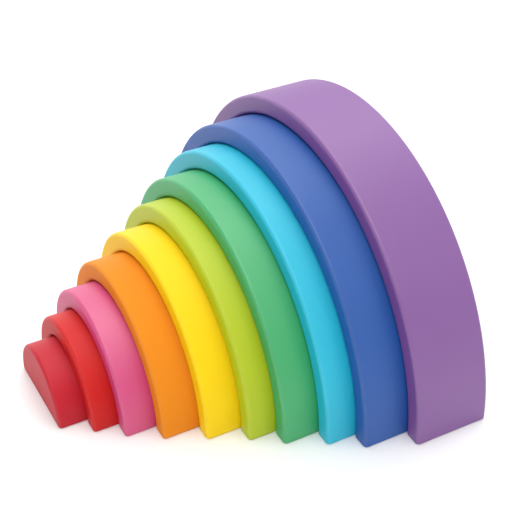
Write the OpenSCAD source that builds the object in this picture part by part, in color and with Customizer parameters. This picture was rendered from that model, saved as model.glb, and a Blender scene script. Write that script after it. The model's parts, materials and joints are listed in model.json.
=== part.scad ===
// Rainbow stacker: nine half-ring arches nested round a half-disc core, all moulded in soft silicone.
// Every piece stands on its own feet and slides in the arch around it, and here each one
// has been drawn out in front of its neighbour, so that the stack climbs like stairs.
// X runs across the arches, Y from the core back to the largest arch, and Z is up.
// The origin is on the table, under the middle of the whole stack.

/* [Nest] */
// Radius of the half-disc core
core_r = 28.2; // [20:0.2:36]
// Thickness of an arch, along the radius
wall = 10.4; // [8:0.1:14]
// Radial play between one piece and the next
play = 0.4; // [0.3:0.05:1.2]
// Depth of every piece, from its front face to its back face
depth = 42; // [36:0.5:60]

/* [Edges] */
// Rounding of the long edges round the front and back faces
edge_r = 2; // [1:0.1:3.5]
// Rounding of the edges where a foot meets the table
foot_r = 0.8; // [0.4:0.1:0.9]

/* [Drawn out] */
// How far the crimson core stands out of the red arch
crimson_pull = 14.6; // [0:0.1:35]
// How far the red arch stands out of the pink arch
red_pull = 13.0; // [0:0.1:35]
// How far the pink arch stands out of the orange arch
pink_pull = 16.1; // [0:0.1:35]
// How far the orange arch stands out of the yellow arch
orange_pull = 19.2; // [0:0.1:35]
// How far the yellow arch stands out of the lime arch
yellow_pull = 18.3; // [0:0.1:35]
// How far the lime arch stands out of the green arch
lime_pull = 14.3; // [0:0.1:35]
// How far the green arch stands out of the cyan arch
green_pull = 18.7; // [0:0.1:35]
// How far the cyan arch stands out of the blue arch
cyan_pull = 15.3; // [0:0.1:35]
// How far the blue arch stands out of the purple arch
blue_pull = 24.1; // [0:0.1:35]

/* [Hidden] */
$fn = 96;
NODES = [
    "crimson_core", "red_arch", "pink_arch", "orange_arch", "yellow_arch",
    "lime_arch", "green_arch", "cyan_arch", "blue_arch", "purple_arch"
];

// Pulls in the order of the nest, from the core outwards
pulls = [
    crimson_pull, red_pull, pink_pull, orange_pull, yellow_pull,
    lime_pull, green_pull, cyan_pull, blue_pull
];
pitch = wall + play;
// Overhang of the foot roundings past the walls that they cut
lap = 0.01;
quarter_turn = 90;

// Sum of the first n pulls
function drawn(n) = n == 0 ? 0 : drawn(n - 1) + pulls[n - 1];

stack_len = drawn(len(pulls)) + depth;

// Place of a piece in the nest, counted from the core
function place(name) = search([name], NODES)[0];

// Outer radius of the piece at a place
function outer_r(n) = core_r + n * pitch;

// Y of the front face of the piece at a place
function front_y(n) = drawn(n) - stack_len / 2;

// Cross-section of a piece between two radii: a rectangle with its four corners rounded
module section(from_r, to_r) {
    translate([from_r + edge_r, 0])
        square([to_r - from_r - 2 * edge_r, depth]);
    translate([from_r, edge_r])
        square([to_r - from_r, depth - 2 * edge_r]);
    for (r = [from_r + edge_r, to_r - edge_r], y = [edge_r, depth - edge_r])
        translate([r, y])
            circle(r = edge_r);
}

// Upright outline of a sole from a to b: flat on the table, with its two lower corners rounded
module sole_outline(a, b) {
    translate([a + foot_r, 0])
        square([b - a - 2 * foot_r, 2 * foot_r]);
    for (x = [a + foot_r - lap, b - foot_r + lap])
        translate([x, foot_r])
            circle(r = foot_r);
}

// Room for a whole piece, closed below by the outlines that are its children
module over_soles(reach) {
    linear_extrude(height = 2 * reach, center = true) {
        translate([-reach, foot_r])
            square([2 * reach, 2 * reach]);
        children();
    }
}

// Stands a turned ring or disc in its place and cuts it off at the table, on rounded soles
module half_turned(n, soles) {
    translate([0, front_y(n), 0])
        intersection() {
            translate([0, depth, foot_r])
                rotate([quarter_turn, 0, 0])
                    rotate_extrude()
                        children();
            rotate([quarter_turn, 0, 0])
                over_soles(outer_r(n) + depth)
                    for (s = soles)
                        sole_outline(s[0], s[1]);
            rotate([quarter_turn, 0, quarter_turn])
                over_soles(outer_r(n) + depth)
                    sole_outline(0, depth);
        }
}

// Half ring with rolled edges, on two feet
module arch(n) {
    inner_r = outer_r(n) - wall;
    half_turned(n, [[-outer_r(n), -inner_r], [inner_r, outer_r(n)]])
        section(inner_r, outer_r(n));
}

// Half disc with rolled edges, on its flat side
module core(n) {
    half_turned(n, [[-outer_r(n), outer_r(n)]])
        intersection() {
            section(-outer_r(n), outer_r(n));
            square([outer_r(n), depth]);
        }
}

module crimson_core() {
    color("#cf3145")
        core(place("crimson_core"));
}

module red_arch() {
    color("#df3a35")
        arch(place("red_arch"));
}

module pink_arch() {
    color("#e8709f")
        arch(place("pink_arch"));
}

module orange_arch() {
    color("#f59a2b")
        arch(place("orange_arch"));
}

module yellow_arch() {
    color("#fbdf27")
        arch(place("yellow_arch"));
}

module lime_arch() {
    color("#b5cb3a")
        arch(place("lime_arch"));
}

module green_arch() {
    color("#56b27d")
        arch(place("green_arch"));
}

module cyan_arch() {
    color("#38bfdb")
        arch(place("cyan_arch"));
}

module blue_arch() {
    color("#4467ac")
        arch(place("blue_arch"));
}

module purple_arch() {
    color("#8f68a9")
        arch(place("purple_arch"));
}

crimson_core();
red_arch();
pink_arch();
orange_arch();
yellow_arch();
lime_arch();
green_arch();
cyan_arch();
blue_arch();
purple_arch();
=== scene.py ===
"""Rainbow stacker: ten nested silicone mouldings with their finish, a studio for them and a camera."""

import json
import math

import bmesh
import bpy
import numpy as np
from mathutils import Color, Matrix, Vector


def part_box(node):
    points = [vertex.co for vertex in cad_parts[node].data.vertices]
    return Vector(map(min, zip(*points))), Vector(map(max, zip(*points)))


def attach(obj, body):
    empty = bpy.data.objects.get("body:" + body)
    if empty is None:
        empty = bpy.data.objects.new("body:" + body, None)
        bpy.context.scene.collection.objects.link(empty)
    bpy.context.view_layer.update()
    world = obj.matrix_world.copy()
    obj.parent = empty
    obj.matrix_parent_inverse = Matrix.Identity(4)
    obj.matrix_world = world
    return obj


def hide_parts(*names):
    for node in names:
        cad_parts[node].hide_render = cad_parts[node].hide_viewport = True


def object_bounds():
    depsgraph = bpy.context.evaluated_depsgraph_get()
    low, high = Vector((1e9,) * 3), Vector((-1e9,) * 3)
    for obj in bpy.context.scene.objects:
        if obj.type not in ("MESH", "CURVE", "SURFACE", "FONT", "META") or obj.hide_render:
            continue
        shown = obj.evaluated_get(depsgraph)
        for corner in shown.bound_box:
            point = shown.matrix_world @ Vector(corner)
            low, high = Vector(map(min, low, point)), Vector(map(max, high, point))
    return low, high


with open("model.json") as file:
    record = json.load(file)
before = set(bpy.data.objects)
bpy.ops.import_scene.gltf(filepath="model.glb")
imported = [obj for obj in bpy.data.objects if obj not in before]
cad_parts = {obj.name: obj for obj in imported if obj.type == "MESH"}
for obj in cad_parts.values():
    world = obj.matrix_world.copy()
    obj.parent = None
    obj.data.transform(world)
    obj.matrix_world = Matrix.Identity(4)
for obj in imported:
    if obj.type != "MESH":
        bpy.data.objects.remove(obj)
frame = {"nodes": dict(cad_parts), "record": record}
CAD_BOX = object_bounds()

bl_info = {
    "name": "Rainbow Stacker",
    "version": (1, 0, 0),
    "blender": (4, 5, 0),
    "location": "View3D > Sidebar > Stacker",
    "description": "Moulds the ten silicone pieces of a rainbow stacker and sets up a studio for them",
    "category": "Add Mesh",
}

MM = 0.001
QUARTER = math.pi / 2
WHITE = (1.0, 1.0, 1.0, 1.0)

# Pieces from the core outwards, with the body of each
NODES = sorted(frame["nodes"], key=lambda node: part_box(node)[1].x)
CORE, *ARCHES = NODES
BODIES = {
    node: body
    for body, members in frame["record"]["behaviour"]["bodies"].items()
    for node in members
}

# Step of the outer radius from one piece to the next
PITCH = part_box(ARCHES[0])[1].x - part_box(CORE)[1].x

# Mesh steps round a rolled edge and down into a sole
CORNER_STEPS = 8
FOOT_STEPS = 5

# Patches of thicker and thinner pigment
CLOUD_WIDTH = 45 * MM
CLOUD_DETAIL = 3.0

# Wear and painted highlight: width of their patches, least share along an edge, paleness and polish of an
# edge (the paleness is partly a painted highlight, partly wear), shade of a scuff
WEAR_AND_HIGHLIGHT_WIDTH = 6 * MM
WEAR_AND_HIGHLIGHT_DETAIL = 2.0
WEAR_AND_HIGHLIGHT_LEAST = 0.6
WEAR_AND_HIGHLIGHT_PALENESS = 0.6
RUB_POLISH = 0.03
SCUFF_DETAIL = 4.0
SCUFF_SHADE = 0.5

# Texture of the mould: how plain its noise is, and how far the roughness varies from grain to grain
MOULD_DETAIL = 1.0
GRAIN_SPREAD = 0.05

# Light in the silicone: how it bends, the share that goes in, and how far each colour travels
SILICONE_IOR = 1.65
INNER_SHARE = 0.12
INNER_DEPTH = 1.5 * MM
INNER_SPREAD = (1.0, 0.6, 0.5)

# Floor: just below the soles, with a faint tooth
FLOOR_DROP = 0.1 * MM
FLOOR_CELLS = 8
FLOOR_ROUGHNESS = (0.85, 0.95)
FLOOR_GLOSS = 0.2
TOOTH_WIDTH = 200 * MM
TOOTH_DETAIL = 2.0
TOOTH_SHADE = 0.005

# Direction of each soft light from the stack, and its share of the power
SOFT_LIGHTS = {
    "overhead_light": ((0.00, 0.00, 1.00), 0.20),
    "left_overhead_light": ((-0.38, 0.20, 0.90), 0.17),
    "right_front_light": ((0.45, -0.30, 0.84), 0.20),
    "right_back_light": ((0.60, 0.55, 0.58), 0.08),
    "left_back_light": ((-0.72, 0.38, 0.58), 0.08),
    "back_light": ((-0.40, 0.85, 0.30), 0.16),
    "left_light": ((-0.95, 0.00, 0.30), 0.11),
}

# Point that the soft lights face, a third of the way up
LIT_POINT = Vector((0.0, 0.0, CAD_BOX[1].z / 3))

# Width of the camera's sensor in millimetres
SENSOR = 36.0


def length(name, description, default):
    """A length in metres that a user may change."""
    return bpy.props.FloatProperty(
        name=name,
        description=description,
        default=default,
        min=0.0,
        precision=5,
        subtype="DISTANCE",
        unit="LENGTH",
    )


def share(name, description, default):
    """A share from nothing to all."""
    return bpy.props.FloatProperty(
        name=name,
        description=description,
        default=default,
        min=0.0,
        max=1.0,
        subtype="FACTOR",
    )


def angle(name, description, degrees):
    """An angle, given in degrees."""
    return bpy.props.FloatProperty(
        name=name,
        description=description,
        default=math.radians(degrees),
        subtype="ANGLE",
        unit="ROTATION",
    )


def strength(name, description, default):
    """The strength of the light from the room."""
    return bpy.props.FloatProperty(
        name=name,
        description=description,
        default=default,
        min=0.0,
        subtype="UNSIGNED",
    )


def tint(name, description, default):
    """A colour as it looks on a screen."""
    return bpy.props.FloatVectorProperty(
        name=name,
        description=description,
        default=default,
        min=0.0,
        max=1.0,
        size=3,
        subtype="COLOR_GAMMA",
    )


class StackerSizes(bpy.types.PropertyGroup):
    """Sizes of the mouldings beyond their outer boxes"""

    play: length("Play", "Radial gap between one piece and the next", 0.4 * MM)
    edge_round: length("Edge rounding", "Rounding of the long edges of a piece", 2.0 * MM)
    foot_round: length("Foot rounding", "Rounding of the edges that meet the table", 0.8 * MM)
    spacing: length("Mesh spacing", "Distance between neighbouring points of a mesh", 2.5 * MM)


class StackerColours(bpy.types.PropertyGroup):
    """Pigment of each piece"""

    crimson: tint("Crimson", "Pigment of the core", (0.735, 0.015, 0.13))
    red: tint("Red", "Pigment of the smallest arch", (0.782, 0.053, 0.034))
    pink: tint("Pink", "Pigment of the second arch", (0.792, 0.111, 0.435))
    orange: tint("Orange", "Pigment of the third arch", (0.896, 0.537, 0.125))
    yellow: tint("Yellow", "Pigment of the fourth arch", (0.96, 0.81, 0.02))
    lime: tint("Lime", "Pigment of the fifth arch", (0.695, 0.76, 0.015))
    green: tint("Green", "Pigment of the sixth arch", (0.085, 0.635, 0.347))
    cyan: tint("Cyan", "Pigment of the seventh arch", (0.015, 0.714, 0.82))
    blue: tint("Blue", "Pigment of the eighth arch", (0.015, 0.31, 0.629))
    purple: tint("Purple", "Pigment of the largest arch", (0.47, 0.247, 0.558))


class StackerGloss(bpy.types.PropertyGroup):
    """Gloss of each piece, from dead matte to satin"""

    crimson: share("Crimson", "Gloss of the core", 0.27)
    red: share("Red", "Gloss of the smallest arch", 0.24)
    pink: share("Pink", "Gloss of the second arch", 1.0)
    orange: share("Orange", "Gloss of the third arch", 0.05)
    yellow: share("Yellow", "Gloss of the fourth arch", 0.15)
    lime: share("Lime", "Gloss of the fifth arch", 0.4)
    green: share("Green", "Gloss of the sixth arch", 0.82)
    cyan: share("Cyan", "Gloss of the seventh arch", 0.5)
    blue: share("Blue", "Gloss of the eighth arch", 0.53)
    purple: share("Purple", "Gloss of the largest arch", 0.86)


class StackerFinish(bpy.types.PropertyGroup):
    """Surface of the silicone"""

    roughness: share("Roughness", "How far the matte surface spreads a reflection", 0.52)
    clouding: share("Clouding", "How much the pigment varies over a piece", 0.05)
    # Rubbed edges: how far the rolled edges are painted paler, partly a painted highlight, partly wear
    edge_wear_and_highlight: share("Rubbed edges", "How much lighter the rolled edges are", 0.02)
    scuff: share("Scuffed soles", "How much duller the soles are", 0.15)
    grain: length("Grain", "Width of one grain of the matte mould texture", 0.35 * MM)
    grain_depth: length("Grain depth", "Depth of the matte mould texture", 0.012 * MM)
    wave: length("Wave", "Width of the soft waves in a moulded face", 30.0 * MM)
    wave_depth: length("Wave depth", "Depth of the soft waves in a moulded face", 0.15 * MM)


class StackerStudio(bpy.types.PropertyGroup):
    """Floor, lights and camera"""

    floor: tint("Floor", "Colour of the floor", (0.95, 0.95, 0.95))
    floor_size: length("Floor size", "Side of the square floor", 3.0)
    sky: strength("Room light", "Strength of the even white light from above", 0.42)
    horizon: strength("Horizon light", "Strength of the white light at the horizon", 1.0)
    horizon_height: angle("Horizon height", "Height at which the horizon has faded to the room light", 15.0)
    soft: bpy.props.FloatProperty(
        name="Soft lights",
        description="Power of all the soft lights together",
        default=212.5,
        min=0.0,
        subtype="POWER",
        unit="POWER",
    )
    soft_size: length("Soft light size", "Side of each square soft light", 2.5)
    soft_reach: length("Soft light distance", "From the stack to each soft light", 3.5)
    azimuth: angle("Azimuth", "Turn of the camera round the stack from its front", 62.224)
    elevation: angle("Elevation", "Height of the camera above the horizon", 35.681)
    roll: angle("Roll", "Turn of the camera about its own line of sight", -0.622)
    distance: length("Distance", "From the camera to the point that it aims at", 697.9 * MM)
    lens: bpy.props.FloatProperty(
        name="Lens",
        description="Focal length of the camera on a 36 mm sensor",
        default=83.92,
        unit="CAMERA",
    )
    aim: bpy.props.FloatVectorProperty(
        name="Aim",
        description="Point in the middle of the picture",
        default=(-24.25 * MM, 46.55 * MM, 23.87 * MM),
        size=3,
        precision=5,
        subtype="XYZ",
        unit="LENGTH",
    )


class StackerSettings(bpy.types.PropertyGroup):
    """Everything that a user may change"""

    sizes: bpy.props.PointerProperty(type=StackerSizes)
    colours: bpy.props.PointerProperty(type=StackerColours)
    gloss: bpy.props.PointerProperty(type=StackerGloss)
    finish: bpy.props.PointerProperty(type=StackerFinish)
    studio: bpy.props.PointerProperty(type=StackerStudio)


def rounded_outline(width, depth, corner, spacing):
    """Points, outward normals and edge shares round a rounded rectangle, from the middle of its front side.

    The rectangle reaches from (0, 0) to (width, depth), and its front side lies along the first axis.
    An edge share is 1 in the middle of a rounding and 0 on a flat side.
    """
    if 2 * corner >= min(width, depth):
        raise RuntimeError(f"a rounding of {corner} m is too large for a side of {min(width, depth)} m")
    points, normals, edges = [], [], []
    centres = [
        (width - corner, corner),
        (width - corner, depth - corner),
        (corner, depth - corner),
        (corner, corner),
    ]
    runs = [depth - 2 * corner, width - 2 * corner] * 2
    for turn, (centre, run) in enumerate(zip(centres, runs)):
        for step in range(CORNER_STEPS + 1):
            part = step / CORNER_STEPS
            bearing = (turn - 1 + part) * QUARTER
            normal = np.array([math.cos(bearing), math.sin(bearing)])
            points.append(np.array(centre) + corner * normal)
            normals.append(normal)
            edges.append(math.sin(math.pi * part))
        along = np.array([-normal[1], normal[0]])
        # An even number of steps puts a point in the middle of each side
        steps = 2 * math.ceil(run / spacing / 2)
        for step in range(1, steps):
            points.append(np.array(centre) + corner * normal + along * run * step / steps)
            normals.append(normal)
            edges.append(0.0)
    middle = len(points) - steps // 2
    return tuple(np.roll(np.array(rows), -middle, axis=0) for rows in (points, normals, edges))


class Moulding:
    """A closed mesh under construction, with the true normal and the finish shares of each point."""

    def __init__(self):
        self.bm = bmesh.new()
        self.edge = self.bm.verts.layers.float.new("edge")
        self.sole = self.bm.verts.layers.float.new("sole")
        self.normals = []

    def point(self, place, normal, edge, sole=0.0):
        """One point, with its share of edge and of sole."""
        vert = self.bm.verts.new(place)
        vert[self.edge] = edge
        vert[self.sole] = sole
        self.normals.append(normal)
        return vert

    def row(self, places, normals, edges, sole=0.0):
        """A row of points."""
        return [self.point(p, n, e, sole) for p, n, e in zip(places, normals, edges)]

    def face(self, *corners):
        """One face between points."""
        self.bm.faces.new(corners)

    def strip(self, first, second, closed=True):
        """Quads between two rows of points."""
        count = len(first)
        for i in range(count if closed else count - 1):
            j = (i + 1) % count
            self.face(first[i], first[j], second[j], second[i])

    def finish(self, name):
        """The finished object, smooth and closed."""
        bmesh.ops.recalc_face_normals(self.bm, faces=self.bm.faces)
        if any(not edge.is_manifold for edge in self.bm.edges):
            raise RuntimeError(f"{name} isn't closed")
        if self.bm.calc_volume(signed=True) < 0:
            bmesh.ops.reverse_faces(self.bm, faces=self.bm.faces)
        for face in self.bm.faces:
            face.smooth = True
        mesh = bpy.data.meshes.new(name)
        self.bm.to_mesh(mesh)
        self.bm.free()
        mesh.normals_split_custom_set_from_vertices(self.normals)
        moulding = bpy.data.objects.new(name, mesh)
        bpy.context.scene.collection.objects.link(moulding)
        return moulding


def foot_rows(moulding, outline, front, side, inner, foot_round):
    """Rows that roll the end of a wall over into its sole. The outline is set in as it goes down."""
    points, normals, edges = outline
    rows = []
    for step in range(1, FOOT_STEPS + 1):
        tilt = QUARTER * step / FOOT_STEPS
        c, s = math.cos(tilt), math.sin(tilt)
        set_in = points - foot_round * (1 - c) * normals
        places = [(side * (inner + u), front + v, foot_round * (1 - s)) for u, v in set_in]
        tilted = [(side * n[0] * c, n[1] * c, -s) for n in normals]
        rolled = np.maximum(edges, math.sin(2 * tilt))
        rows.append(moulding.row(places, tilted, rolled, sole=s))
    return rows


def turned_rows(moulding, outline, front, inner, outer, sizes):
    """Rows of an outline that is turned half round, from the right foot over the top to the left foot."""
    points, normals, edges = outline
    steps = math.ceil(math.pi * outer / sizes.spacing)
    rows = []
    for step in range(steps + 1):
        bearing = math.pi * step / steps
        c, s = math.cos(bearing), math.sin(bearing)
        places = [((inner + u) * c, front + v, sizes.foot_round + (inner + u) * s) for u, v in points]
        turned = [(n[0] * c, n[1], n[0] * s) for n in normals]
        rows.append(moulding.row(places, turned, edges))
    return rows


def mould_arch(node, sizes):
    """Half ring with rolled edges, on two feet whose lower edges are rolled too."""
    low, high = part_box(node)
    outer = high.x
    inner = outer - (PITCH - sizes.play)
    outline = rounded_outline(outer - inner, high.y - low.y, sizes.edge_round, sizes.spacing)
    moulding = Moulding()
    rows = foot_rows(moulding, outline, low.y, 1, inner, sizes.foot_round)[::-1]
    rows += turned_rows(moulding, outline, low.y, inner, outer, sizes)
    rows += foot_rows(moulding, outline, low.y, -1, inner, sizes.foot_round)
    for first, second in zip(rows, rows[1:]):
        moulding.strip(first, second)
    moulding.face(*rows[0])
    moulding.face(*rows[-1])
    return moulding.finish(node + "_moulding")


def mould_core(node, sizes):
    """Half disc with a rolled rim, on a flat sole whose lower edges are rolled too."""
    low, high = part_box(node)
    outer = high.x
    points, normals, edges = rounded_outline(
        2 * outer, high.y - low.y, sizes.edge_round, sizes.spacing
    )
    points = points - np.array([outer, 0.0])
    # Right half of the outline, without its two points on the axis that it is turned about
    right = slice(1, len(points) // 2)
    half = (points[right], normals[right], edges[right])
    moulding = Moulding()
    front = moulding.point((0.0, low.y, sizes.foot_round), (0, -1, 0), 0.0)
    back = moulding.point((0.0, high.y, sizes.foot_round), (0, 1, 0), 0.0)
    turned = turned_rows(moulding, half, low.y, 0.0, outer, sizes)
    for first, second in zip(turned, turned[1:]):
        moulding.strip(first, second, closed=False)
        moulding.face(front, first[0], second[0])
        moulding.face(back, second[-1], first[-1])
    rows = [[front, *turned[0], back, *turned[-1][::-1]]]
    rows += foot_rows(moulding, (points, normals, edges), low.y, 1, 0.0, sizes.foot_round)
    for first, second in zip(rows, rows[1:]):
        moulding.strip(first, second)
    moulding.face(*rows[-1])
    return moulding.finish(node + "_moulding")


class Finish:
    """Builds the nodes of one material."""

    def __init__(self, name):
        self.material = bpy.data.materials.new(name)
        self.material.use_nodes = True
        self.tree = self.material.node_tree
        self.shader = self.tree.nodes["Principled BSDF"]

    def add(self, kind, sockets=None, **settings):
        """Adds a node. A socket's value is a constant or another node's output."""
        node = self.tree.nodes.new("ShaderNode" + kind)
        for key, value in settings.items():
            setattr(node, key, value)
        self.set(node, sockets or {})
        return node

    def set(self, node, sockets):
        """Sets or links the sockets of a node."""
        for key, value in sockets.items():
            if isinstance(value, bpy.types.NodeSocket):
                self.tree.links.new(value, node.inputs[key])
            else:
                node.inputs[key].default_value = value

    def place(self):
        """Where a point is in the object's own space."""
        return self.add("TexCoord").outputs["Object"]

    def mark(self, name):
        """A share that the mesh holds for each point."""
        return self.add("Attribute", attribute_name=name).outputs["Fac"]

    def noise(self, place, width, detail):
        """Smooth noise with features of about this width, from 0 to 1."""
        sockets = {"Vector": place, "Scale": 1.0 / width, "Detail": detail}
        return self.add("TexNoise", sockets).outputs["Fac"]

    def scaled(self, value, low, high):
        """A value from 0 to 1, spread over another range."""
        node = self.add("MapRange", {"Value": value, "To Min": low, "To Max": high})
        return node.outputs["Result"]

    def product(self, a, b):
        """One value times another."""
        return self.add("Math", {0: a, 1: b}, operation="MULTIPLY").outputs[0]

    def difference(self, a, b):
        """One value less another."""
        return self.add("Math", {0: a, 1: b}, operation="SUBTRACT").outputs[0]

    def mix(self, share_of_b, a, b):
        """A colour between a and b. The sockets go by number, because their names repeat."""
        node = self.add("Mix", {0: share_of_b, 6: a, 7: b}, data_type="RGBA")
        return node.outputs[2]

    def bump(self, height, distance, below=None):
        """A bumpy normal, on top of another one if there is one below."""
        sockets = {"Height": height, "Distance": distance}
        if below is not None:
            sockets["Normal"] = below
        return self.add("Bump", sockets).outputs["Normal"]


def screen_colour(values):
    """A screen colour as the light that it stands for, with full opacity."""
    return (*Color(values).from_srgb_to_scene_linear(), 1.0)


def paler(colour, part):
    """A colour moved this far towards white."""
    return (*(c + (1.0 - c) * part for c in colour[:3]), 1.0)


def brighter(colour, part):
    """A colour with this much more light in it."""
    return (*(min(1.0, c * (1.0 + part)) for c in colour[:3]), 1.0)


def darker(colour, part):
    """A colour with this much less light in it."""
    return (*(c * (1.0 - part) for c in colour[:3]), 1.0)


def silicone(name, pigment, gloss, finish):
    """Soft matte silicone, coloured through, with rolled edges painted paler as a painted highlight and as
    wear, and scuffed soles.
    """
    paint = Finish(name)
    place = paint.place()
    colour = screen_colour(pigment)

    clouds = paint.noise(place, CLOUD_WIDTH, CLOUD_DETAIL)
    body = paint.mix(clouds, darker(colour, finish.clouding), brighter(colour, finish.clouding))
    # The rolled edges are painted paler in patches: partly a painted highlight, partly wear
    patches = paint.scaled(paint.noise(place, WEAR_AND_HIGHLIGHT_WIDTH, WEAR_AND_HIGHLIGHT_DETAIL), WEAR_AND_HIGHLIGHT_LEAST, 1.0)
    edge_wear_and_highlight = paint.product(paint.mark("edge"), patches)
    worn_and_highlit = paint.mix(paint.product(edge_wear_and_highlight, finish.edge_wear_and_highlight), body, paler(colour, WEAR_AND_HIGHLIGHT_PALENESS))
    grime = paint.product(paint.mark("sole"), paint.noise(place, WEAR_AND_HIGHLIGHT_WIDTH, SCUFF_DETAIL))
    scuffed = paint.mix(paint.product(grime, finish.scuff), worn_and_highlit, darker(colour, SCUFF_SHADE))

    grain = paint.noise(place, finish.grain, MOULD_DETAIL)
    grainy = paint.scaled(grain, finish.roughness - GRAIN_SPREAD, finish.roughness + GRAIN_SPREAD)
    waves = paint.noise(place, finish.wave, MOULD_DETAIL)
    wavy = paint.bump(waves, finish.wave_depth)
    paint.set(
        paint.shader,
        {
            "Base Color": scuffed,
            "Roughness": paint.difference(grainy, paint.product(edge_wear_and_highlight, RUB_POLISH)),
            "Normal": paint.bump(grain, finish.grain_depth, wavy),
            "IOR": SILICONE_IOR,
            "Specular IOR Level": gloss,
            "Subsurface Weight": INNER_SHARE,
            "Subsurface Radius": INNER_SPREAD,
            "Subsurface Scale": INNER_DEPTH,
        },
    )
    return paint.material


def dress(moulding, node, settings):
    """Gives a moulding its silicone, hangs it on the empty of its body and hides its plain solid."""
    # The first word of a node's name is its colour
    colour = node.split("_")[0]
    pigment = getattr(settings.colours, colour)
    gloss = getattr(settings.gloss, colour)
    moulding.data.materials.append(silicone(colour + "_matte", pigment, gloss, settings.finish))
    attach(moulding, BODIES[node])
    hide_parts(node)


def pale_floor(studio):
    """Material of the floor: a plain matte sheet with a faint tooth."""
    paint = Finish("pale_floor")
    colour = screen_colour(studio.floor)
    tooth = paint.noise(paint.place(), TOOTH_WIDTH, TOOTH_DETAIL)
    paint.set(
        paint.shader,
        {
            "Base Color": paint.mix(tooth, darker(colour, TOOTH_SHADE), colour),
            "Roughness": paint.scaled(tooth, *FLOOR_ROUGHNESS),
            "Specular IOR Level": FLOOR_GLOSS,
        },
    )
    return paint.material


def lay_floor(studio):
    """A square floor under the stack."""
    bm = bmesh.new()
    bmesh.ops.create_grid(
        bm, x_segments=FLOOR_CELLS, y_segments=FLOOR_CELLS, size=studio.floor_size / 2
    )
    mesh = bpy.data.meshes.new("floor")
    bm.to_mesh(mesh)
    bm.free()
    floor = bpy.data.objects.new("floor", mesh)
    floor.location.z = -FLOOR_DROP
    floor.data.materials.append(pale_floor(studio))
    bpy.context.scene.collection.objects.link(floor)


def light_room(studio):
    """White light all round, brightest at the horizon, where it meets the floor without a line."""
    world = bpy.data.worlds.new("white_room")
    world.use_nodes = True
    nodes, links = world.node_tree.nodes, world.node_tree.links
    direction = nodes.new("ShaderNodeTexCoord")
    height = nodes.new("ShaderNodeSeparateXYZ")
    fade = nodes.new("ShaderNodeMapRange")
    fade.interpolation_type = "SMOOTHSTEP"
    fade.inputs["From Max"].default_value = math.sin(studio.horizon_height)
    fade.inputs["To Min"].default_value = studio.horizon
    fade.inputs["To Max"].default_value = studio.sky
    background = nodes["Background"]
    background.inputs["Color"].default_value = WHITE
    links.new(direction.outputs["Generated"], height.inputs["Vector"])
    links.new(height.outputs["Z"], fade.inputs["Value"])
    links.new(fade.outputs["Result"], background.inputs["Strength"])
    bpy.context.scene.world = world


def hang_light(name, direction, power, studio):
    """A square soft light that faces the stack from a direction."""
    back = Vector(direction).normalized()
    data = bpy.data.lights.new(name, "AREA")
    data.shape = "SQUARE"
    data.size = studio.soft_size
    data.energy = power
    light = bpy.data.objects.new(name, data)
    light.location = LIT_POINT + back * studio.soft_reach
    light.rotation_euler = (-back).to_track_quat("-Z", "Y").to_euler()
    bpy.context.scene.collection.objects.link(light)


def set_camera(studio):
    """A camera that aims at a point from a given direction."""
    a, e = studio.azimuth, studio.elevation
    back = Vector((math.sin(a) * math.cos(e), -math.cos(a) * math.cos(e), math.sin(e)))
    data = bpy.data.cameras.new("camera")
    data.sensor_width = SENSOR
    data.lens = studio.lens
    camera = bpy.data.objects.new("camera", data)
    camera.rotation_mode = "QUATERNION"
    camera.location = Vector(studio.aim) + studio.distance * back
    level = (-back).to_track_quat("-Z", "Y")
    camera.rotation_quaternion = level @ Matrix.Rotation(studio.roll, 3, "Z").to_quaternion()
    bpy.context.scene.collection.objects.link(camera)
    bpy.context.scene.camera = camera


class STACKER_OT_core(bpy.types.Operator):
    """Mould the half-disc core"""

    bl_idname = "stacker.core"
    bl_label = "Mould Core"

    def execute(self, context):
        settings = context.scene.stacker
        dress(mould_core(CORE, settings.sizes), CORE, settings)
        return {"FINISHED"}


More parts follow.
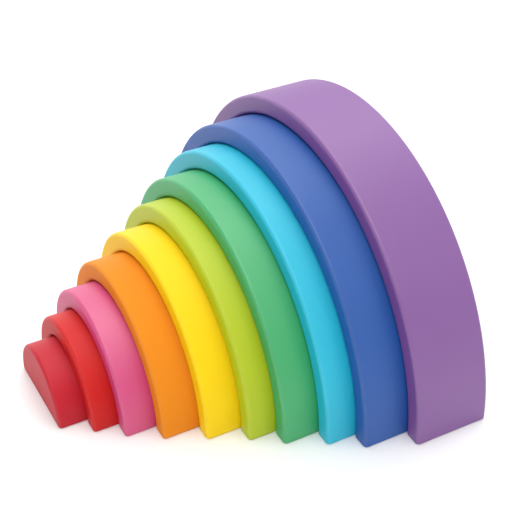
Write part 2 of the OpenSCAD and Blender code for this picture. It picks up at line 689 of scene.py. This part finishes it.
class STACKER_OT_arches(bpy.types.Operator):
    """Mould the arches that nest round the core"""

    bl_idname = "stacker.arches"
    bl_label = "Mould Arches"

    def execute(self, context):
        settings = context.scene.stacker
        for node in ARCHES:
            dress(mould_arch(node, settings.sizes), node, settings)
        return {"FINISHED"}


class STACKER_OT_studio(bpy.types.Operator):
    """Lay the floor, hang the lights and set the camera"""

    bl_idname = "stacker.studio"
    bl_label = "Set Up Studio"

    def execute(self, context):
        studio = context.scene.stacker.studio
        lay_floor(studio)
        light_room(studio)
        for name, (direction, part) in SOFT_LIGHTS.items():
            hang_light(name, direction, studio.soft * part, studio)
        set_camera(studio)
        context.scene.view_settings.view_transform = "Standard"
        return {"FINISHED"}


class STACKER_PT_sidebar(bpy.types.Panel):
    """Settings and steps of the stacker"""

    bl_label = "Rainbow Stacker"
    bl_idname = "STACKER_PT_sidebar"
    bl_space_type = "VIEW_3D"
    bl_region_type = "UI"
    bl_category = "Stacker"

    def draw(self, context):
        settings = context.scene.stacker
        for group in (
            settings.sizes,
            settings.colours,
            settings.gloss,
            settings.finish,
            settings.studio,
        ):
            column = self.layout.column(align=True)
            for name in group.bl_rna.properties.keys():
                if name not in ("rna_type", "name"):
                    column.prop(group, name)
        for operator in (STACKER_OT_core, STACKER_OT_arches, STACKER_OT_studio):
            self.layout.operator(operator.bl_idname)


CLASSES = (
    StackerSizes,
    StackerColours,
    StackerGloss,
    StackerFinish,
    StackerStudio,
    StackerSettings,
    STACKER_OT_core,
    STACKER_OT_arches,
    STACKER_OT_studio,
    STACKER_PT_sidebar,
)


def register():
    """Adds the settings, the steps and the panel to Blender."""
    for cls in CLASSES:
        bpy.utils.register_class(cls)
    bpy.types.Scene.stacker = bpy.props.PointerProperty(type=StackerSettings)


def unregister():
    """Takes them out again."""
    del bpy.types.Scene.stacker
    for cls in reversed(CLASSES):
        bpy.utils.unregister_class(cls)


def main():
    """Makes the pieces and the studio."""
    register()
    bpy.ops.stacker.core()
    bpy.ops.stacker.arches()
    bpy.ops.stacker.studio()


if __name__ == "__main__":
    main()
